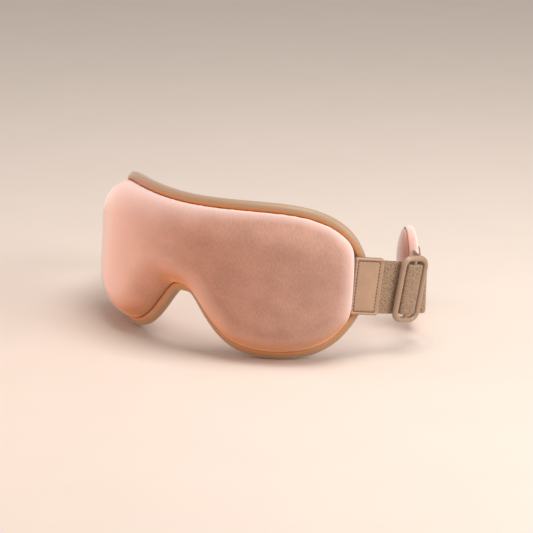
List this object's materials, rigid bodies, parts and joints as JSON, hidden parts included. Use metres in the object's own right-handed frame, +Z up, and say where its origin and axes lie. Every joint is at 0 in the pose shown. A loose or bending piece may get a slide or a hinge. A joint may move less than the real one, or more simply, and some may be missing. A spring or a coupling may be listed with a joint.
{
  "type": "eye massager mask",
  "caption": "Padded eye mask on a wrap-round elastic strap, with a crowned velvet front, piped edge, nose notch, side tabs, strap slider and a control pod.",
  "frame": {"origin": "on the resting surface, below the middle of the outline box", "axes": "+X to the right of a viewer who faces the velvet front, which looks along -Y; +Z up"},
  "size_m": [0.2338, 0.1803, 0.0948],
  "materials": {
    "velvet": "short-pile velvet",
    "lining": "brushed knit",
    "foam": "open-cell foam",
    "felt": "pressed felt",
    "satin": "satin bias tape",
    "film": "polyimide film",
    "pouch": "laminated pouch",
    "wire": "insulated wire",
    "elastic": "woven elastic webbing",
    "leather": "smooth stitched leather",
    "slider_plastic": "moulded gloss",
    "pod_plastic": "fine satin moulding",
    "cup_plastic": "moulded",
    "steel": "plated",
    "weight": "sintered",
    "board": "solder mask",
    "black_plastic": "moulded",
    "button_plastic": "moulded gloss",
    "flap_rubber": "silicone",
    "light": "clear light pipe"
  },
  "bodies": {
    "mask": {"front_cover": "velvet", "front_foam": "foam", "carrier_sheet": "felt", "back_lining": "lining", "edge_piping": "satin", "eye_cushion_left": "lining", "eye_cushion_right": "lining", "heating_film_left": "film", "heating_film_right": "film", "battery": "pouch", "wiring_loom": "wire", "motor_cup_left": "cup_plastic", "motor_cup_right": "cup_plastic", "motor_lid_left": "cup_plastic", "motor_lid_right": "cup_plastic", "motor_can_left": "steel", "motor_can_right": "steel", "right_tab_front": "leather", "right_tab_back": "leather", "left_tab_front": "leather", "left_tab_back": "leather", "elastic_strap": "elastic", "head_pad_inner": "velvet", "head_pad_outer": "velvet", "pod_base": "pod_plastic", "pod_cover": "pod_plastic", "control_board": "board", "button_switch": "black_plastic", "usb_socket": "steel", "status_light": "light"},
    "slider": {"strap_slider": "slider_plastic", "strap_loop": "elastic"},
    "left_rotor": {"motor_shaft_left": "steel", "motor_weight_left": "weight"},
    "right_rotor": {"motor_shaft_right": "steel", "motor_weight_right": "weight"},
    "button": {"power_button": "button_plastic"},
    "flap": {"port_flap": "flap_rubber"}
  },
  "joints": [
    {"name": "slider_slide", "type": "slide", "parent": "mask", "child": "slider", "axis": [0.2273, 0.9582, -0.1737], "range_m": [-0.008, 0]},
    {"name": "left_rotor_spin", "type": "hinge", "parent": "mask", "child": "left_rotor", "pos_m": [-0.05192, -0.0601, 0.04637], "axis": [-0.4794, -0.8742, 0.0765], "continuous": true},
    {"name": "right_rotor_spin", "type": "hinge", "parent": "mask", "child": "right_rotor", "pos_m": [0.05192, -0.0601, 0.04637], "axis": [0.4794, -0.8742, 0.0765], "continuous": true},
    {"name": "button_press", "type": "slide", "parent": "mask", "child": "button", "axis": [0.8465, 0.5301, -0.0497], "range_m": [0, 0.0008], "stiffness_N_per_m": 400, "springref_m": -0.0004},
    {"name": "flap_hinge", "type": "hinge", "parent": "mask", "child": "flap", "pos_m": [-0.10178, -0.02425, 0.02809], "axis": [0.5318, -0.8372, 0.1276], "range_deg": [0, 100]}
  ]
}
